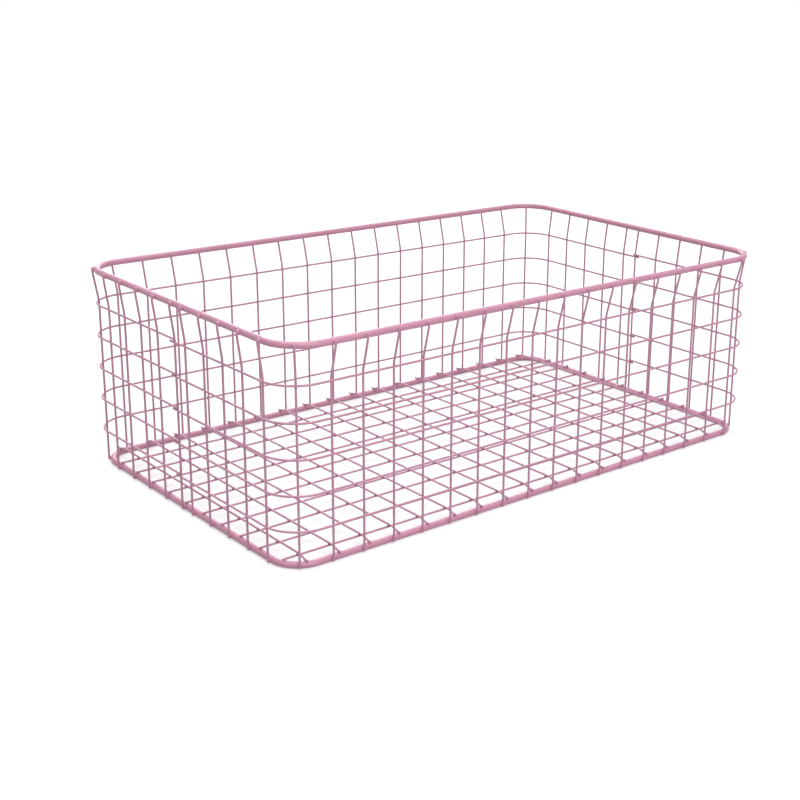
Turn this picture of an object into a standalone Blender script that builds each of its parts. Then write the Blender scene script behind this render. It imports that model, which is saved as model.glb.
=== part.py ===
"""Wire drawer basket of powder-coated steel.

Two hoops of round rod carry everything: a top rim and a smaller bottom rim. The four walls are
two U-shaped panels of square wire mesh, one round the front and one round the back, whose rows
lap at the middle of the side walls. The wall wires stand upright outside the bottom rim as far as
the top row, and then flare out to the top rim. The base is a grid of wires on the bottom rim.
"""

import math

import bpy
from mathutils import Vector

# Stock and welds
ROD_DIAMETER = 0.0048
WIRE_DIAMETER = 0.0016
WELD_GAP = 0.0003
WELD_BITE = 0.0004

# Rims, on the rods' centre lines
BASE_LENGTH = 0.453
BASE_WIDTH = 0.2688
BASE_CORNER_RADIUS = 0.0213
SIDE_WALL_FLARE = 0.003
FRONT_WALL_FLARE = 0.0058
TOP_CORNER_GROWTH = 0.0054
RIM_RISE = 0.1526

# Walls
MESH_PITCH = 0.025
LOWEST_ROW_RISE = 0.0264
LEAST_FLARE_RISE = 0.018
LEAST_SEAM_GAP = 0.008
LAST_UPRIGHT_SETBACK = 0.002
LAP_STUB = 0.0045
FOOT_DROP = 0.001
TIP_RISE = 0.0014
FLARE_BEND_DROP = 0.0022
WIRE_BEND_CUT = 0.0015

# Base grid, from the centre line of the bottom rim
LEFT_MARGIN = 0.013
LEAST_RIGHT_MARGIN = 0.012
FRONT_MARGIN = 0.0115
LEAST_REAR_MARGIN = 0.012
RAMP_LENGTH = 0.0055

# Facets
ROD_BEVEL_STEPS = 4
WIRE_BEVEL_STEPS = 2
ROD_CORNER_STEPS = 8
WIRE_CORNER_STEPS = 6
SMOOTH_ANGLE = math.radians(50)

# Powder coat, as sRGB shares, with the sheen of a satin paint
ROD_COAT_SHARES = (0.76, 0.57, 0.65)
WALL_COAT_SHARES = (0.73, 0.53, 0.62)
BASE_COAT_SHARES = (0.72, 0.52, 0.61)
COAT_ROUGHNESS_SHARE = 0.42
COAT_METALLIC_SHARE = 0.0

# Values worked out from the ones above
ROD_RADIUS = ROD_DIAMETER / 2
WIRE_RADIUS = WIRE_DIAMETER / 2
ROD_SIDES = 4 + 2 * ROD_BEVEL_STEPS
HALF_FACET = math.pi / ROD_SIDES
ROD_FLAT = ROD_RADIUS * math.cos(HALF_FACET)
BOTTOM_ROD_Z = ROD_FLAT
TOP_ROD_Z = BOTTOM_ROD_Z + RIM_RISE
UPRIGHT_STEP = ROD_RADIUS + WIRE_RADIUS + WELD_GAP
LAYER_STEP = WIRE_DIAMETER + WELD_GAP
WELDED_STEP = WIRE_DIAMETER - WELD_BITE
LONG_WIRE_Z = BOTTOM_ROD_Z + ROD_FLAT + WELD_GAP + WIRE_RADIUS
CROSS_WIRE_Z = LONG_WIRE_Z + LAYER_STEP

ROW_COUNT = 1 + math.floor((RIM_RISE - LEAST_FLARE_RISE - LOWEST_ROW_RISE) / MESH_PITCH)
ROW_HEIGHTS = [BOTTOM_ROD_Z + LOWEST_ROW_RISE + row * MESH_PITCH for row in range(ROW_COUNT)]
FOOT_Z = BOTTOM_ROD_Z - FOOT_DROP
WAIST_Z = ROW_HEIGHTS[-1] + WIRE_DIAMETER
FLARE_TOP_Z = TOP_ROD_Z - FLARE_BEND_DROP
TIP_Z = TOP_ROD_Z + TIP_RISE


class Outline:
    """A rounded rectangle round the middle of the basket, seen from above."""

    def __init__(self, half_x, half_y, radius):
        self.half_x = half_x
        self.half_y = half_y
        self.radius = radius

    def grown(self, step):
        return Outline(self.half_x + step, self.half_y + step, self.radius + step)

    @property
    def straight_x(self):
        return self.half_x - self.radius

    @property
    def straight_y(self):
        return self.half_y - self.radius

    @property
    def quarter(self):
        return self.radius * math.pi / 2

    @property
    def half_way_round(self):
        return 2 * self.straight_x + 2 * self.straight_y + 2 * self.quarter

    def at(self, along):
        """The point this far along the outline from the middle of the front, towards +X."""
        side = math.copysign(1, along)
        run = abs(along)
        if run <= self.straight_x:
            return Vector((along, -self.half_y))
        run -= self.straight_x
        if run <= self.quarter:
            turn = run / self.radius
            centre = Vector((side * self.straight_x, -self.straight_y))
            return centre + self.radius * Vector((side * math.sin(turn), -math.cos(turn)))
        run -= self.quarter
        return Vector((side * self.half_x, run - self.straight_y))

    def nearest_to(self, place):
        """The outline's point nearest to a place near it."""
        core_x = max(-self.straight_x, min(self.straight_x, place.x))
        core_y = max(-self.straight_y, min(self.straight_y, place.y))
        core = Vector((core_x, core_y))
        return core + self.radius * (place - core).normalized()

    def reach_y(self, x):
        """Half of the outline's width at this distance from the middle of its length."""
        over = max(abs(x) - self.straight_x, 0)
        return self.straight_y + math.sqrt(max(self.radius**2 - over**2, 0))

    def reach_x(self, y):
        """Half of the outline's length at this distance from the middle of its width."""
        over = max(abs(y) - self.straight_y, 0)
        return self.straight_x + math.sqrt(max(self.radius**2 - over**2, 0))

    def hoop(self):
        """The closed outline, with its corner points on the arcs."""
        points = []
        for quarter in range(4):
            sign_x = 1 if quarter in (0, 3) else -1
            sign_y = 1 if quarter in (0, 1) else -1
            for step in range(ROD_CORNER_STEPS + 1):
                turn = math.pi / 2 * (quarter + step / ROD_CORNER_STEPS)
                x = sign_x * self.straight_x + self.radius * math.cos(turn)
                y = sign_y * self.straight_y + self.radius * math.sin(turn)
                points.append(Vector((x, y)))
        return points

    def corner(self, side):
        """Front corner from its side wall to the front, with its chords touching the arc."""
        step_angle = math.pi / 2 / WIRE_CORNER_STEPS
        reach = self.radius / math.cos(step_angle / 2)
        points = []
        for step in reversed(range(WIRE_CORNER_STEPS)):
            turn = (step + 1 / 2) * step_angle
            x = side * (self.straight_x + reach * math.sin(turn))
            points.append(Vector((x, -self.straight_y - reach * math.cos(turn))))
        return points


BASE_RIM = Outline(BASE_LENGTH / 2, BASE_WIDTH / 2, BASE_CORNER_RADIUS)
TOP_RIM = Outline(
    BASE_RIM.half_x + SIDE_WALL_FLARE,
    BASE_RIM.half_y + FRONT_WALL_FLARE,
    BASE_RIM.radius + TOP_CORNER_GROWTH,
)
MESH_LINE = BASE_RIM.grown(UPRIGHT_STEP)
TIP_LINE = TOP_RIM.grown(UPRIGHT_STEP)

# Each panel's last upright stands near the middle of a side wall, and the first keeps the seam gap.
PANEL_LENGTH = MESH_LINE.half_way_round
UPRIGHT_COUNT = 1 + math.floor((PANEL_LENGTH - LEAST_SEAM_GAP) / MESH_PITCH)
SEAM_GAP = PANEL_LENGTH - (UPRIGHT_COUNT - 1) * MESH_PITCH
LAST_PLACE = PANEL_LENGTH / 2 - LAST_UPRIGHT_SETBACK
UPRIGHT_PLACES = [LAST_PLACE - step * MESH_PITCH for step in reversed(range(UPRIGHT_COUNT))]

CROSS_COUNT = 1 + math.floor((BASE_LENGTH - LEFT_MARGIN - LEAST_RIGHT_MARGIN) / MESH_PITCH)
LONG_COUNT = 1 + math.floor((BASE_WIDTH - FRONT_MARGIN - LEAST_REAR_MARGIN) / MESH_PITCH)


def linear(share):
    """One sRGB channel as linear light."""
    return share / 12.92 if share <= 0.04045 else ((share + 0.055) / 1.055) ** 2.4


def coat(name, shares):
    material = bpy.data.materials.new(name)
    material.use_nodes = True
    shader = material.node_tree.nodes["Principled BSDF"]
    shader.inputs["Base Color"].default_value = (*[linear(share) for share in shares], 1)
    shader.inputs["Roughness"].default_value = COAT_ROUGHNESS_SHARE
    shader.inputs["Metallic"].default_value = COAT_METALLIC_SHARE
    return material


def raised(points, z):
    return [Vector((point.x, point.y, z)) for point in points]


def softened(corners):
    """Cuts each inner corner of a path back by the same length on both sides."""
    path = [corners[0]]
    for before, corner, after in zip(corners, corners[1:], corners[2:]):
        path.append(corner + (before - corner).normalized() * WIRE_BEND_CUT)
        path.append(corner + (after - corner).normalized() * WIRE_BEND_CUT)
    path.append(corners[-1])
    return path


def swept(name, paths, diameter, bevel_steps, closed=False, tilt=0.0):
    """A curve object of round stock, with one spline for each path."""
    curve = bpy.data.curves.new(name, "CURVE")
    curve.dimensions = "3D"
    curve.bevel_depth = diameter / 2
    curve.bevel_resolution = bevel_steps
    curve.use_fill_caps = True
    for path in paths:
        spline = curve.splines.new("POLY")
        spline.points.add(len(path) - 1)
        for point, place in zip(spline.points, path):
            point.co = (*place, 1)
            point.tilt = tilt
        spline.use_cyclic_u = closed
    piece = bpy.data.objects.new(name, curve)
    bpy.context.scene.collection.objects.link(piece)
    return piece


def wire(name, path):
    return swept(name, [path], WIRE_DIAMETER, WIRE_BEVEL_STEPS)


def rim(name, outline, z):
    """A closed rod hoop that lies on one of its own flats."""
    path = raised(outline.hoop(), z)
    return swept(name, [path], ROD_DIAMETER, ROD_BEVEL_STEPS, closed=True, tilt=HALF_FACET)


def finished(piece, material, holder):
    piece.data.materials.append(material)
    piece.parent = holder
    return piece


def upright_path(along):
    """One wall wire: upright from foot to waist, flared, and upright beside the top rim."""
    foot = MESH_LINE.at(along)
    tip = TIP_LINE.nearest_to(foot)
    levels = [FOOT_Z, WAIST_Z, FLARE_TOP_Z, TIP_Z]
    return softened([Vector((*place, z)) for place, z in zip([foot, foot, tip, tip], levels)])


def row_path(row, step_out):
    """One row of the front panel: long end on the left wall, lapped stub on the right wall."""
    z = ROW_HEIGHTS[row]
    line = MESH_LINE.grown(step_out)
    clear_x = MESH_LINE.half_x + LAYER_STEP
    first_y = MESH_LINE.at(UPRIGHT_PLACES[0]).y
    last_y = MESH_LINE.at(UPRIGHT_PLACES[-1]).y
    plan = [Vector((-clear_x, first_y + SEAM_GAP + LAP_STUB))]
    if step_out < LAYER_STEP:
        plan.append(Vector((-clear_x, first_y + SEAM_GAP / 2)))
        plan.append(Vector((-line.half_x, first_y + WIRE_DIAMETER)))
    plan += line.corner(-1)
    plan += reversed(line.corner(1))
    plan.append(Vector((line.half_x, last_y + LAP_STUB)))
    runs = [0]
    for before, after in zip(plan, plan[1:]):
        runs.append(runs[-1] + (after - before).length)
    rises = [LAYER_STEP * (run / runs[-1] - 1 / 2) for run in runs]
    return [Vector((point.x, point.y, z + rise)) for point, rise in zip(plan, rises)]


def as_mesh(piece, name):
    """A mesh object of what the piece shows, in its place."""
    graph = bpy.context.evaluated_depsgraph_get()
    shown = bpy.data.meshes.new_from_object(piece.evaluated_get(graph))
    bpy.data.objects.remove(piece)
    copy = bpy.data.objects.new(name, shown)
    bpy.context.scene.collection.objects.link(copy)
    return copy


def comb(name):
    """The panel's uprights and its top row, joined where they cross."""
    paths = [upright_path(along) for along in UPRIGHT_PLACES]
    uprights = swept(name + "_uprights", paths, WIRE_DIAMETER, WIRE_BEVEL_STEPS)
    row = wire(name + "_row", row_path(ROW_COUNT - 1, WELDED_STEP))
    piece = as_mesh(row, name)
    joined = as_mesh(uprights, name + "_joined")
    weld = piece.modifiers.new("weld", "BOOLEAN")
    weld.operation = "UNION"
    weld.object = joined
    piece = as_mesh(piece, name)
    bpy.data.objects.remove(joined)
    piece.data.shade_smooth()
    piece.data.set_sharp_from_angle(angle=SMOOTH_ANGLE)
    return piece


def turned_copy(piece, name):
    """The same piece as the back panel's, half a turn round the middle of the basket."""
    copy = bpy.data.objects.new(name, piece.data)
    bpy.context.scene.collection.objects.link(copy)
    copy.rotation_euler.z = math.pi
    copy.parent = piece.parent
    return copy


def cross_wire(name, x):
    """A base wire from front to back on top of the long ones, bent down on to the rods."""
    end = BASE_RIM.grown(ROD_RADIUS).reach_y(abs(x) + WIRE_RADIUS)
    seat = BASE_RIM.reach_y(x) - ROD_RADIUS / 2
    lift = seat - RAMP_LENGTH
    levels = [LONG_WIRE_Z, LONG_WIRE_Z, CROSS_WIRE_Z, CROSS_WIRE_Z, LONG_WIRE_Z, LONG_WIRE_Z]
    stations = [-end, -seat, -lift, lift, seat, end]
    piece = wire(name, [Vector((0, y, z)) for y, z in zip(stations, levels)])
    piece.location.x = x
    return piece


def long_wire(name, y):
    """A straight base wire from side to side on the rods."""
    end = BASE_RIM.grown(ROD_RADIUS).reach_x(abs(y) + WIRE_RADIUS)
    piece = wire(name, [Vector((-end, 0, 0)), Vector((end, 0, 0))])
    piece.location = (0, y, LONG_WIRE_Z)
    return piece


def build():
    for old in list(bpy.data.objects):
        bpy.data.objects.remove(old)
    basket = bpy.data.objects.new("basket", None)
    bpy.context.scene.collection.objects.link(basket)
    rod_coat = coat("rod_coat", ROD_COAT_SHARES)
    wall_coat = coat("wall_coat", WALL_COAT_SHARES)
    base_coat = coat("base_coat", BASE_COAT_SHARES)

    finished(rim("top_rim", TOP_RIM, TOP_ROD_Z), rod_coat, basket)
    finished(rim("bottom_rim", BASE_RIM, BOTTOM_ROD_Z), rod_coat, basket)

    front = finished(comb("front_uprights_and_top_row"), wall_coat, basket)
    turned_copy(front, "back_uprights_and_top_row")
    for row in range(ROW_COUNT - 1):
        name = "row_wire_{}".format(row + 1)
        front = finished(wire("front_" + name, row_path(row, LAYER_STEP)), wall_coat, basket)
        turned_copy(front, "back_" + name)

    for step in range(CROSS_COUNT):
        x = step * MESH_PITCH + LEFT_MARGIN - BASE_RIM.half_x
        finished(cross_wire("base_cross_wire_{:02d}".format(step + 1), x), base_coat, basket)
    for step in range(LONG_COUNT):
        y = step * MESH_PITCH + FRONT_MARGIN - BASE_RIM.half_y
        finished(long_wire("base_long_wire_{:02d}".format(step + 1), y), base_coat, basket)


build()
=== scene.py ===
"""Looks of the wire drawer basket: its 98 wires and rods, their welds, powder coat and studio."""

import math
import random

import bmesh
import bpy
from mathutils import Matrix, Vector


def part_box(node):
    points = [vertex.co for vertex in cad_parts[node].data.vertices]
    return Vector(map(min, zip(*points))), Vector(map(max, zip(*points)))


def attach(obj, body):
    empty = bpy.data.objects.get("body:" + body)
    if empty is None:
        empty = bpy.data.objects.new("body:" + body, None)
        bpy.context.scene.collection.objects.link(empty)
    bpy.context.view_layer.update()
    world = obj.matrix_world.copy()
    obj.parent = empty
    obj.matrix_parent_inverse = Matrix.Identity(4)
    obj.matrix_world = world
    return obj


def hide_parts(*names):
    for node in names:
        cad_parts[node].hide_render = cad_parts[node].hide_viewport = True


# Camera, worked out from the photograph
CAMERA_PLACE = (-0.6725, -0.8410, 0.4007)
CAMERA_AZIMUTH = math.radians(41.965)
CAMERA_ELEVATION = math.radians(16.95)
CAMERA_ROLL = math.radians(1.437)
FOCAL_PIXELS = 1381.6
CENTRE_PIXEL = (511.2, 360.9)
FRAME_PIXELS = 800
SENSOR_MM = 36
CLIP_START = 0.01

# Shapes that the frame's boxes don't show, as in the solids
ROD_SIDES = 12
BASE_CORNER_RADIUS = 0.0213
TOP_CORNER_GROWTH = 0.0054
WELD_GAP = 0.0003
WELD_BITE = 0.0004
LAST_UPRIGHT_SETBACK = 0.002
FOOT_DROP = 0.001
TIP_RISE = 0.0014
FLARE_BEND_DROP = 0.0022
RAMP_LENGTH = 0.0055
LEAST_SEAM_GAP = 0.008

# Finer than the solids
ROD_FINE_SIDES = 32
WIRE_FINE_SIDES = 14
CORNER_STEPS = 24
BEND_STEPS = 5
BEND_CUT = 0.0022
CAP_SHARE = 0.8
CAP_DEPTH = 0.00012
SHARP_ANGLE = math.radians(50)

# Wire ends, shorter than in the solids
LAP_STUB = 0.0029
LONG_END_TRIM = 0.0013

# Small differences from wire to wire, drawn at random
SEED = 7
TIP_SPREAD = 0.00025
STUB_SPREAD = 0.0007

# Welds, as half sizes sideways, along each weld's own level direction, and upward
WALL_WELD = (0.0008, 0.0007, 0.0008)
FOOT_WELD = (0.0010, 0.0009, 0.0017)
TIP_WELD = (0.0015, 0.0013, 0.0021)
BASE_WELD = (0.0008, 0.0008, 0.0006)
SEAT_WELD = (0.0010, 0.0013, 0.0006)
WELD_SEGMENTS = 10
WELD_RINGS = 6

# Powder coat, with its colours as sRGB shares; the wire tints are a little darker than the rods' as
# painted shade, since it is all one coat
ROD_COAT_SHARES = (0.78, 0.54, 0.645)
WALL_COAT_SHARES = (0.74, 0.525, 0.63)
BASE_COAT_SHARES = (0.75, 0.54, 0.645)
COAT_ROUGHNESS = (0.34, 0.46)
COAT_SHEEN = 0.7
GRAIN_SIZE = 0.0007
GRAIN_DETAIL = 3
GRAIN_SHARE = 0.06
MOTTLE_SIZE = 0.011
MOTTLE_DETAIL = 3
MOTTLE_SHARE = 0.05
PEEL_SIZE = 0.0009
PEEL_DETAIL = 2
PEEL_DEPTH = 0.00005
PEEL_SHARE = 0.5
NOISE_RANGE = (0.3, 0.7)

# The sRGB curve
SRGB_TOE_END = 0.04045
SRGB_TOE_SLOPE = 12.92
SRGB_OFFSET = 0.055
SRGB_POWER = 2.4

# Studio
FLOOR_SIZE = 6.0
FLOOR_SHARE = 0.5
WORLD_STRENGTH = 0.25
SKY_POWER = 2.26
SKY_ANGLE = math.radians(70)
SKY_FROM = (0, 0.05, 1)
LAMP_POWER = 7.0
LAMP_SIZE = 0.8
LAMP_PLACE = (-0.30, -1.20, 0.70)
BACK_LAMP_PLACE = (0.60, 1.10, 0.60)


def linear(share):
    """One sRGB channel as linear light."""
    if share <= SRGB_TOE_END:
        return share / SRGB_TOE_SLOPE
    return ((share + SRGB_OFFSET) / (1 + SRGB_OFFSET)) ** SRGB_POWER


class Outline:
    """A rounded rectangle round the middle of the basket, seen from above."""

    def __init__(self, half_x, half_y, radius):
        self.half_x = half_x
        self.half_y = half_y
        self.radius = radius
        self.straight_x = half_x - radius
        self.straight_y = half_y - radius
        self.quarter = radius * math.pi / 2
        self.half_way_round = 2 * (self.straight_x + self.straight_y + self.quarter)

    def grown(self, step):
        """The outline this far outside this one."""
        return Outline(self.half_x + step, self.half_y + step, self.radius + step)

    def at(self, along):
        """The point this far along the outline from the middle of the front, towards +X."""
        side = math.copysign(1, along)
        run = abs(along)
        if run <= self.straight_x:
            return Vector((along, -self.half_y, 0))
        run -= self.straight_x
        if run <= self.quarter:
            turn = run / self.radius
            centre = Vector((side * self.straight_x, -self.straight_y, 0))
            return centre + self.radius * Vector((side * math.sin(turn), -math.cos(turn), 0))
        run -= self.quarter
        return Vector((side * self.half_x, run - self.straight_y, 0))

    def core(self, place):
        """The point inside, one corner radius from the outline, that is nearest to a place near it."""
        core_x = max(-self.straight_x, min(self.straight_x, place.x))
        core_y = max(-self.straight_y, min(self.straight_y, place.y))
        return Vector((core_x, core_y, place.z))

    def outward(self, place):
        """The outline's outward direction at the point nearest to a place near it."""
        return (place - self.core(place)).normalized()

    def nearest_to(self, place):
        """The outline's point nearest to a place near it."""
        return self.core(place) + self.radius * self.outward(place)

    def reach_y(self, x):
        """How far the outline reaches from the middle in Y, at this X."""
        over = max(abs(x) - self.straight_x, 0)
        return self.straight_y + math.sqrt(max(self.radius**2 - over**2, 0))

    def reach_x(self, y):
        """How far the outline reaches from the middle in X, at this Y."""
        over = max(abs(y) - self.straight_y, 0)
        return self.straight_x + math.sqrt(max(self.radius**2 - over**2, 0))

    def front_corner(self, side):
        """The front corner's arc, from its side wall to the front."""
        points = []
        for step in range(CORNER_STEPS + 1):
            turn = math.pi / 2 * (1 - step / CORNER_STEPS)
            x = side * (self.straight_x + self.radius * math.sin(turn))
            points.append(Vector((x, -self.straight_y - self.radius * math.cos(turn), 0)))
        return points

    def hoop(self):
        """The whole outline as points."""
        front = self.front_corner(-1) + self.front_corner(1)[::-1]
        return front + [turned(point) for point in front]


def turned(point):
    """The point half a turn round the middle of the basket."""
    return Vector((-point.x, -point.y, point.z))


def facing(points, turn):
    """The front panel's points, or the back panel's after half a turn."""
    return [turned(point) for point in points] if turn else points


class Basket:
    """Sizes of the basket, read from the frame's boxes."""

    def __init__(self, nodes):
        # The solids' rods have a flat side wherever their boxes end
        low, high = (Vector(corner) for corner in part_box("bottom_rim"))
        flat = (high.z - low.z) / 2
        self.rod = flat / math.cos(math.pi / ROD_SIDES)
        self.base = Outline(high.x - flat, high.y - flat, BASE_CORNER_RADIUS)
        self.base_z = low.z + self.rod
        low, high = (Vector(corner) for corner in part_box("top_rim"))
        self.top = Outline(high.x - flat, high.y - flat, BASE_CORNER_RADIUS + TOP_CORNER_GROWTH)
        self.top_z = high.z - self.rod
        self.rise_z = (low.z + high.z) / 2

        low, high = (Vector(corner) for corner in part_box("base_long_wire_01"))
        self.wire = (high.z - low.z) / 2
        self.long_z = (high.z + low.z) / 2
        self.layer = 2 * self.wire + WELD_GAP
        self.cross_z = self.long_z + self.layer
        self.line = self.base.grown(self.rod + self.wire + WELD_GAP)
        self.tips = self.top.grown(self.rod + self.wire + WELD_GAP)
        self.long_ys = [middle(name).y for name in numbered("base_long_wire_{:02d}", nodes)]
        self.cross_xs = [middle(name).x for name in numbered("base_cross_wire_{:02d}", nodes)]
        self.pitch = (self.cross_xs[-1] - self.cross_xs[0]) / (len(self.cross_xs) - 1)
        self.row_zs = [middle(name).z for name in numbered("front_row_wire_{}", nodes)]
        self.row_zs.append(self.row_zs[-1] + self.pitch)

        length = self.line.half_way_round
        count = 1 + math.floor((length - LEAST_SEAM_GAP) / self.pitch)
        self.seam = length - (count - 1) * self.pitch
        last = length / 2 - LAST_UPRIGHT_SETBACK
        self.places = [last - step * self.pitch for step in reversed(range(count))]


def numbered(pattern, nodes):
    """The nodes' names of this pattern, counted from 1 until there is none."""
    names = []
    while pattern.format(len(names) + 1) in nodes:
        names.append(pattern.format(len(names) + 1))
    return names


def middle(name):
    """The middle of a node's box."""
    low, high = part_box(name)
    return (Vector(low) + Vector(high)) / 2


def rounded(points, cut):
    """The path with a small arc in place of each inner corner."""
    path = [points[0]]
    for before, corner, after in zip(points, points[1:], points[2:]):
        start = corner + (before - corner).normalized() * min(cut, (before - corner).length / 2)
        end = corner + (after - corner).normalized() * min(cut, (after - corner).length / 2)
        for step in range(BEND_STEPS + 1):
            share = step / BEND_STEPS
            path.append(start.lerp(corner, share).lerp(corner.lerp(end, share), share))
    path.append(points[-1])
    return path


def tube(name, path, radius, sides, closed=False):
    """Round stock swept along a path, with its cut ends slightly domed."""
    count = len(path)
    ways = []
    for step in range(count):
        before = path[step - 1] if step or closed else path[0]
        after = path[(step + 1) % count] if step + 1 < count or closed else path[-1]
        ways.append((after - before).normalized())
    across = ways[0].orthogonal().normalized()
    mesh = bmesh.new()
    rings = []
    for place, way in zip(path, ways):
        across = (across - way * across.dot(way)).normalized()
        rings.append(ring(mesh, place, way, across, radius, sides))
    for before, after in zip(rings, rings[1:] + (rings[:1] if closed else [])):
        bridge(mesh, before, after)
    if not closed:
        cap(mesh, rings[0], path[0], -ways[0])
        cap(mesh, rings[-1], path[-1], ways[-1])
    bmesh.ops.recalc_face_normals(mesh, faces=mesh.faces)
    return piece_of(name, mesh)


def ring(mesh, place, way, across, radius, sides):
    """The points of one section of round stock."""
    other = way.cross(across)
    verts = []
    for side in range(sides):
        turn = 2 * math.pi * side / sides
        verts.append(mesh.verts.new(place + radius * (math.cos(turn) * across + math.sin(turn) * other)))
    return verts


def bridge(mesh, before, after):
    """Faces between two rings of as many points."""
    for side in range(len(before)):
        mesh.faces.new((before[side - 1], before[side], after[side], after[side - 1]))


def cap(mesh, rim, place, outward):
    """A shallow dome over a cut end, within the wire's own length."""
    inner = [mesh.verts.new(place + (vert.co - place) * CAP_SHARE) for vert in rim]
    for vert in rim:
        vert.co -= outward * CAP_DEPTH
    bridge(mesh, rim, inner)
    mesh.faces.new(inner)


def piece_of(name, mesh):
    """A smooth-shaded piece with this mesh."""
    data = bpy.data.meshes.new(name)
    mesh.to_mesh(data)
    mesh.free()
    data.shade_smooth()
    data.set_sharp_from_angle(angle=SHARP_ANGLE)
    return linked(name, data)


def linked(name, data):
    """A new object in the scene with this data."""
    piece = bpy.data.objects.new(name, data)
    bpy.context.scene.collection.objects.link(piece)
    return piece


def placed(piece, finish, node=None):
    """Gives a piece its finish and body, and hides the node that it stands for."""
    piece.data.materials.append(finish)
    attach(piece, "root")
    if node:
        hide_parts(node)


def upright_path(basket, along, tip_extra):
    """One upright of the front panel, straight up to the top row and then out to the top rim."""
    foot = basket.line.at(along)
    tip = basket.tips.nearest_to(foot)
    levels = [
        basket.base_z - FOOT_DROP,
        basket.row_zs[-1] + 2 * basket.wire,
        basket.rise_z - FLARE_BEND_DROP,
        basket.rise_z + TIP_RISE + tip_extra,
    ]
    up = Vector((0, 0, 1))
    return rounded([place + z * up for place, z in zip([foot, foot, tip, tip], levels)], BEND_CUT)


def row_path(basket, row, stub_extra):
    """One row of the front panel: long end on the left wall, lapped stub on the right wall."""
    top = row == len(basket.row_zs) - 1
    line = basket.line.grown(2 * basket.wire - WELD_BITE if top else basket.layer)
    clear_x = basket.line.half_x + basket.layer
    first_y = basket.line.at(basket.places[0]).y
    last_y = basket.line.at(basket.places[-1]).y
    plan = [Vector((-clear_x, first_y + basket.seam + LAP_STUB + stub_extra, 0))]
    if top:
        plan.append(Vector((-clear_x, first_y + basket.seam / 2, 0)))
        plan.append(Vector((-line.half_x, first_y + 2 * basket.wire, 0)))
    plan += line.front_corner(-1)
    plan += line.front_corner(1)[::-1]
    plan.append(Vector((line.half_x, last_y + LAP_STUB + stub_extra, 0)))
    runs = [0]
    for before, after in zip(plan, plan[1:]):
        runs.append(runs[-1] + (after - before).length)
    for point, run in zip(plan, runs):
        point.z = basket.row_zs[row] + basket.layer * (run / runs[-1] - 1 / 2)
    return plan


def cross_path(basket, x):
    """One base wire from front to back, with its ends bent down to the rim."""
    end = basket.base.grown(basket.rod).reach_y(abs(x) + basket.wire)
    seat = basket.base.reach_y(x) - basket.rod / 2
    lift = seat - RAMP_LENGTH
    low, high = basket.long_z, basket.cross_z
    stations = zip([-end, -seat, -lift, lift, seat, end], [low, low, high, high, low, low])
    return rounded([Vector((x, y, z)) for y, z in stations], BEND_CUT)


def long_path(basket, y):
    """One base wire from side to side."""
    end = basket.base.grown(basket.rod).reach_x(abs(y) + basket.wire) - LONG_END_TRIM
    return [Vector((-end, y, basket.long_z)), Vector((end, y, basket.long_z))]


def nearest(path, point):
    """The path's nearest point in plan, with its height there."""
    best = None
    for start, end in zip(path, path[1:]):
        way = (end - start).xy
        share = max(0, min(1, (point.xy - start.xy).dot(way) / way.length_squared))
        place = start.lerp(end, share)
        if best is None or (place.xy - point.xy).length < (best.xy - point.xy).length:
            best = place
    return best


class Welds:
    """Small rounded welds, gathered into one piece."""

    def __init__(self):
        self.places = []
        self.faces = []
        ball = bmesh.new()
        bmesh.ops.create_uvsphere(ball, u_segments=WELD_SEGMENTS, v_segments=WELD_RINGS, radius=1)
        self.ball_places = [vert.co.copy() for vert in ball.verts]
        # Sorted, because the operator lists the faces in an order that varies from run to run
        self.ball_faces = sorted([vert.index for vert in face.verts] for face in ball.faces)
        ball.free()

    def add(self, place, way, half_sizes):
        """One weld, with its second half size along this level direction."""
        sideways = Vector((way.y, -way.x, 0))
        axes = (sideways, way, sideways.cross(way))
        shape = Matrix([axis * half for axis, half in zip(axes, half_sizes)]).transposed()
        first = len(self.places)
        self.places += [place + shape @ point for point in self.ball_places]
        self.faces += [[first + index for index in face] for face in self.ball_faces]

    def piece(self, name):
        """The welds so far, as one smooth-shaded piece."""
        data = bpy.data.meshes.new(name)
        data.from_pydata(self.places, [], self.faces)
        data.shade_smooth()
        return linked(name, data)


def walls(basket, wall_coat, rod_coat):
    """Both mesh panels with their welds: the back one is the front one after half a turn."""
    chance = random.Random(SEED)
    wall_welds = Welds()
    rim_welds = Welds()
    for panel, turn in (("front", False), ("back", True)):
        comb = panel + "_uprights_and_top_row"
        rows = []
        for row in range(len(basket.row_zs)):
            path = row_path(basket, row, chance.uniform(-STUB_SPREAD, STUB_SPREAD))
            rows.append(path)
            top = row == len(basket.row_zs) - 1
            name = "{}_row_{}".format(panel, row + 1)
            piece = tube(name, facing(path, turn), basket.wire, WIRE_FINE_SIDES)
            node = comb if top else "{}_row_wire_{}".format(panel, row + 1)
            placed(piece, wall_coat, node)
        for number, along in enumerate(basket.places):
            path = upright_path(basket, along, chance.uniform(-TIP_SPREAD, TIP_SPREAD))
            name = "{}_upright_{:02d}".format(panel, number + 1)
            piece = tube(name, facing(path, turn), basket.wire, WIRE_FINE_SIDES)
            placed(piece, wall_coat, comb)
            weld_upright(basket, along, rows, turn, wall_welds, rim_welds)
        lap_welds(basket, rows, turn, wall_welds)
    placed(wall_welds.piece("wall_welds"), wall_coat)
    placed(rim_welds.piece("rim_welds"), rod_coat)


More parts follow.
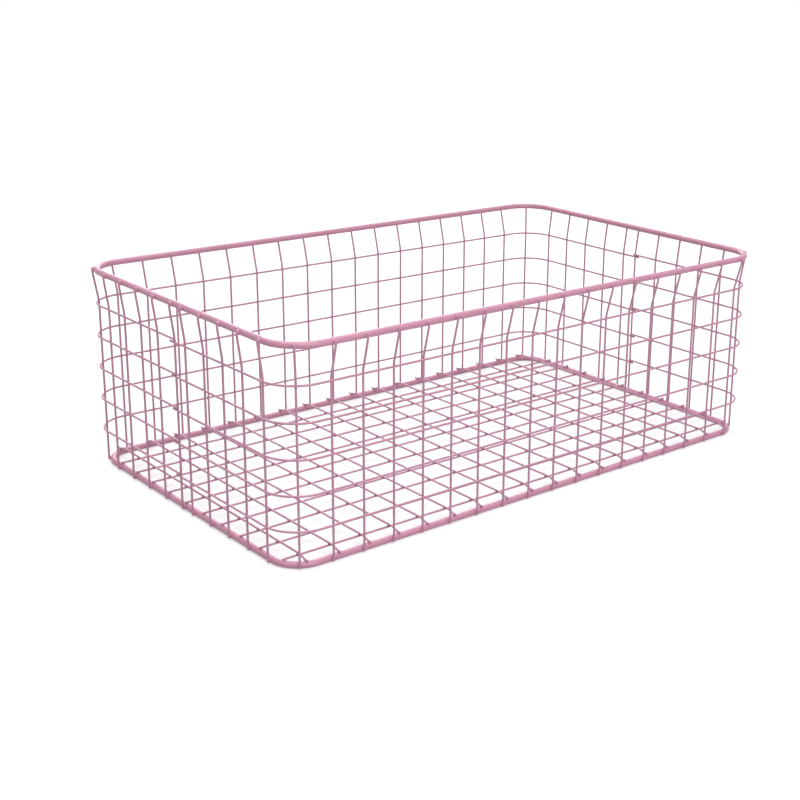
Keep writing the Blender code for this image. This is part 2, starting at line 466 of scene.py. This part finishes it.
def weld_upright(basket, along, rows, turn, wall_welds, rim_welds):
    """An upright's welds, at each row and at both rims."""
    foot = basket.line.at(along)
    outward = basket.line.outward(foot)
    joint = basket.wire + WELD_GAP / 2
    spots = []
    for path in rows:
        beside = nearest(path, foot + outward * basket.layer)
        place = Vector((*(foot + outward * joint).xy, beside.z))
        spots.append((wall_welds, place, outward, WALL_WELD))
    low = foot - outward * joint
    spots.append((rim_welds, Vector((low.x, low.y, basket.base_z)), outward, FOOT_WELD))
    tip = basket.tips.nearest_to(foot)
    outward = basket.tips.outward(tip)
    high = tip - outward * joint
    spots.append((rim_welds, Vector((high.x, high.y, basket.top_z)), outward, TIP_WELD))
    for welds, place, outward, half_sizes in spots:
        welds.add(*facing((place, outward), turn), half_sizes)


def lap_welds(basket, rows, turn, wall_welds):
    """The long row ends, welded to the other panel's last upright on the left wall."""
    other = turned(basket.line.at(basket.places[-1]))
    outward = basket.line.outward(other)
    joint = basket.wire + WELD_GAP / 2
    for path in rows:
        beside = nearest(path, other + outward * basket.layer)
        place = Vector((*(other + outward * joint).xy, beside.z))
        wall_welds.add(*facing((place, outward), turn), WALL_WELD)


def base(basket, finish):
    """The grid of base wires, with its welds."""
    welds = Welds()
    along_cross = Vector((0, 1, 0))
    along_long = Vector((1, 0, 0))
    joint = basket.wire + WELD_GAP / 2
    for number, x in enumerate(basket.cross_xs):
        name = "cross_wire_{:02d}".format(number + 1)
        piece = tube(name, cross_path(basket, x), basket.wire, WIRE_FINE_SIDES)
        placed(piece, finish, "base_" + name)
        for y in basket.long_ys:
            welds.add(Vector((x, y, basket.long_z + joint)), along_cross, BASE_WELD)
        for side in (-1, 1):
            place = Vector((x, side * basket.base.reach_y(x), basket.long_z - joint))
            welds.add(place, along_cross, SEAT_WELD)
    for number, y in enumerate(basket.long_ys):
        name = "long_wire_{:02d}".format(number + 1)
        piece = tube(name, long_path(basket, y), basket.wire, WIRE_FINE_SIDES)
        placed(piece, finish, "base_" + name)
        for side in (-1, 1):
            place = Vector((side * basket.base.reach_x(y), y, basket.long_z - joint))
            welds.add(place, along_long, SEAT_WELD)
    placed(welds.piece("base_welds"), finish)


def rims(basket, finish):
    """Both hoops of rod."""
    for name, outline, z in (("top", basket.top, basket.top_z), ("bottom", basket.base, basket.base_z)):
        path = [Vector((point.x, point.y, z)) for point in outline.hoop()]
        piece = tube(name + "_rod", path, basket.rod, ROD_FINE_SIDES, closed=True)
        placed(piece, finish, name + "_rim")


def powder_coat(name, shares):
    """Satin powder coat: fine grain, faint cloudiness and orange peel."""
    material = bpy.data.materials.new(name)
    material.use_nodes = True
    nodes, links = material.node_tree.nodes, material.node_tree.links
    shader = nodes["Principled BSDF"]
    place = nodes.new("ShaderNodeTexCoord")

    def noise(size, detail):
        node = nodes.new("ShaderNodeTexNoise")
        node.inputs["Scale"].default_value = 1 / size
        node.inputs["Detail"].default_value = detail
        links.new(place.outputs["Object"], node.inputs["Vector"])
        return node.outputs["Fac"]

    def spread(source, low, high):
        node = nodes.new("ShaderNodeMapRange")
        node.inputs["From Min"].default_value = NOISE_RANGE[0]
        node.inputs["From Max"].default_value = NOISE_RANGE[1]
        node.inputs["To Min"].default_value = low
        node.inputs["To Max"].default_value = high
        links.new(source, node.inputs["Value"])
        return node.outputs["Result"]

    grain = noise(GRAIN_SIZE, GRAIN_DETAIL)
    mottle = noise(MOTTLE_SIZE, MOTTLE_DETAIL)
    grain_level = spread(grain, 1 - GRAIN_SHARE, 1 + GRAIN_SHARE)
    mottle_level = spread(mottle, 1 - MOTTLE_SHARE, 1 + MOTTLE_SHARE)
    level = nodes.new("ShaderNodeMath")
    level.operation = "MULTIPLY"
    links.new(grain_level, level.inputs[0])
    links.new(mottle_level, level.inputs[1])
    tint = nodes.new("ShaderNodeVectorMath")
    tint.operation = "SCALE"
    tint.inputs[0].default_value = [linear(share) for share in shares]
    links.new(level.outputs[0], tint.inputs["Scale"])
    links.new(tint.outputs["Vector"], shader.inputs["Base Color"])
    shader.inputs["Specular IOR Level"].default_value = COAT_SHEEN
    links.new(spread(mottle, *COAT_ROUGHNESS), shader.inputs["Roughness"])
    bump = nodes.new("ShaderNodeBump")
    bump.inputs["Strength"].default_value = PEEL_SHARE
    bump.inputs["Distance"].default_value = PEEL_DEPTH
    links.new(noise(PEEL_SIZE, PEEL_DETAIL), bump.inputs["Height"])
    links.new(bump.outputs["Normal"], shader.inputs["Normal"])
    return material


def camera():
    """The camera, at the photograph's place and angle."""
    azimuth, elevation = CAMERA_AZIMUTH, CAMERA_ELEVATION
    forward = Vector((
        math.sin(azimuth) * math.cos(elevation),
        math.cos(azimuth) * math.cos(elevation),
        -math.sin(elevation),
    ))
    level = Vector((math.cos(azimuth), -math.sin(azimuth), 0))
    upward = level.cross(forward)
    right = math.cos(CAMERA_ROLL) * level + math.sin(CAMERA_ROLL) * upward
    up = math.cos(CAMERA_ROLL) * upward - math.sin(CAMERA_ROLL) * level
    data = bpy.data.cameras.new("camera")
    data.sensor_width = SENSOR_MM
    data.lens = FOCAL_PIXELS / FRAME_PIXELS * SENSOR_MM
    data.shift_x = (FRAME_PIXELS / 2 - CENTRE_PIXEL[0]) / FRAME_PIXELS
    data.shift_y = (CENTRE_PIXEL[1] - FRAME_PIXELS / 2) / FRAME_PIXELS
    data.clip_start = CLIP_START
    piece = linked("camera", data)
    turn = Matrix((right, up, -forward)).transposed()
    piece.matrix_world = Matrix.Translation(CAMERA_PLACE) @ turn.to_4x4()
    bpy.context.scene.camera = piece


def seen_directly(nodes, links):
    """One for what the camera sees, straight or reflected, and zero for what only gives light."""
    path = nodes.new("ShaderNodeLightPath")
    seen = nodes.new("ShaderNodeMath")
    seen.operation = "MAXIMUM"
    links.new(path.outputs["Is Camera Ray"], seen.inputs[0])
    links.new(path.outputs["Is Glossy Ray"], seen.inputs[1])
    return seen.outputs[0]


def floor():
    """Pale floor that shows white and keeps the basket's shadow."""
    half = FLOOR_SIZE / 2
    mesh = bpy.data.meshes.new("floor")
    places = [(-half, -half, 0), (half, -half, 0), (half, half, 0), (-half, half, 0)]
    mesh.from_pydata(places, [], [(0, 1, 2, 3)])
    material = bpy.data.materials.new("floor")
    material.use_nodes = True
    nodes, links = material.node_tree.nodes, material.node_tree.links
    shader = nodes["Principled BSDF"]
    shader.inputs["Base Color"].default_value = (FLOOR_SHARE, FLOOR_SHARE, FLOOR_SHARE, 1)
    shader.inputs["Roughness"].default_value = 1.0
    shader.inputs["Specular IOR Level"].default_value = 0.0
    shader.inputs["Emission Color"].default_value = (1, 1, 1, 1)
    lift = nodes.new("ShaderNodeMath")
    lift.operation = "MULTIPLY"
    steepness = Vector(SKY_FROM).normalized().z
    lift.inputs[1].default_value = 1 - FLOOR_SHARE * (WORLD_STRENGTH + SKY_POWER * steepness / math.pi)
    links.new(seen_directly(nodes, links), lift.inputs[0])
    links.new(lift.outputs[0], shader.inputs["Emission Strength"])
    mesh.materials.append(material)
    linked("floor", mesh)


def surroundings():
    """Even white surroundings that give little light."""
    world = bpy.data.worlds.new("studio")
    world.use_nodes = True
    nodes, links = world.node_tree.nodes, world.node_tree.links
    background = nodes["Background"]
    background.inputs["Color"].default_value = (1, 1, 1, 1)
    strength = nodes.new("ShaderNodeMix")
    strength.data_type = "FLOAT"
    strength.inputs["A"].default_value = WORLD_STRENGTH
    strength.inputs["B"].default_value = 1.0
    links.new(seen_directly(nodes, links), strength.inputs["Factor"])
    links.new(strength.outputs["Result"], background.inputs["Strength"])
    bpy.context.scene.world = world


def lights():
    """A broad light overhead and two soft lamps."""
    sky = bpy.data.lights.new("sky", "SUN")
    sky.energy = SKY_POWER
    sky.angle = SKY_ANGLE
    aimed("sky", sky, Vector(SKY_FROM))
    for name, place in (("lamp", LAMP_PLACE), ("back_lamp", BACK_LAMP_PLACE)):
        lamp = bpy.data.lights.new(name, "AREA")
        lamp.energy = LAMP_POWER
        lamp.size = LAMP_SIZE
        aimed(name, lamp, Vector(place))


def aimed(name, light, place):
    """A light at this place, turned towards the middle of the basket's footprint."""
    holder = linked(name, light)
    holder.location = place
    holder.rotation_euler = (-place).to_track_quat("-Z", "Y").to_euler()


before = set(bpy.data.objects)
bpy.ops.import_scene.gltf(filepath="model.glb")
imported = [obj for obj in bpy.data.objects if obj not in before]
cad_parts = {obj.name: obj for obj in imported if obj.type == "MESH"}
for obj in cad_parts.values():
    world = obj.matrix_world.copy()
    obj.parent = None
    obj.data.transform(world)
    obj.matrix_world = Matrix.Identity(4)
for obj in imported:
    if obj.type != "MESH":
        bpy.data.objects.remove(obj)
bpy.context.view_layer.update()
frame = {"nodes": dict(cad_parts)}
bpy.context.scene.view_settings.view_transform = "Standard"
camera()
floor()
surroundings()
lights()
basket = Basket(frame["nodes"])
rod_coat = powder_coat("rod_coat", ROD_COAT_SHARES)
wall_coat = powder_coat("wall_coat", WALL_COAT_SHARES)
base_coat = powder_coat("base_coat", BASE_COAT_SHARES)
rims(basket, rod_coat)
walls(basket, wall_coat, rod_coat)
base(basket, base_coat)
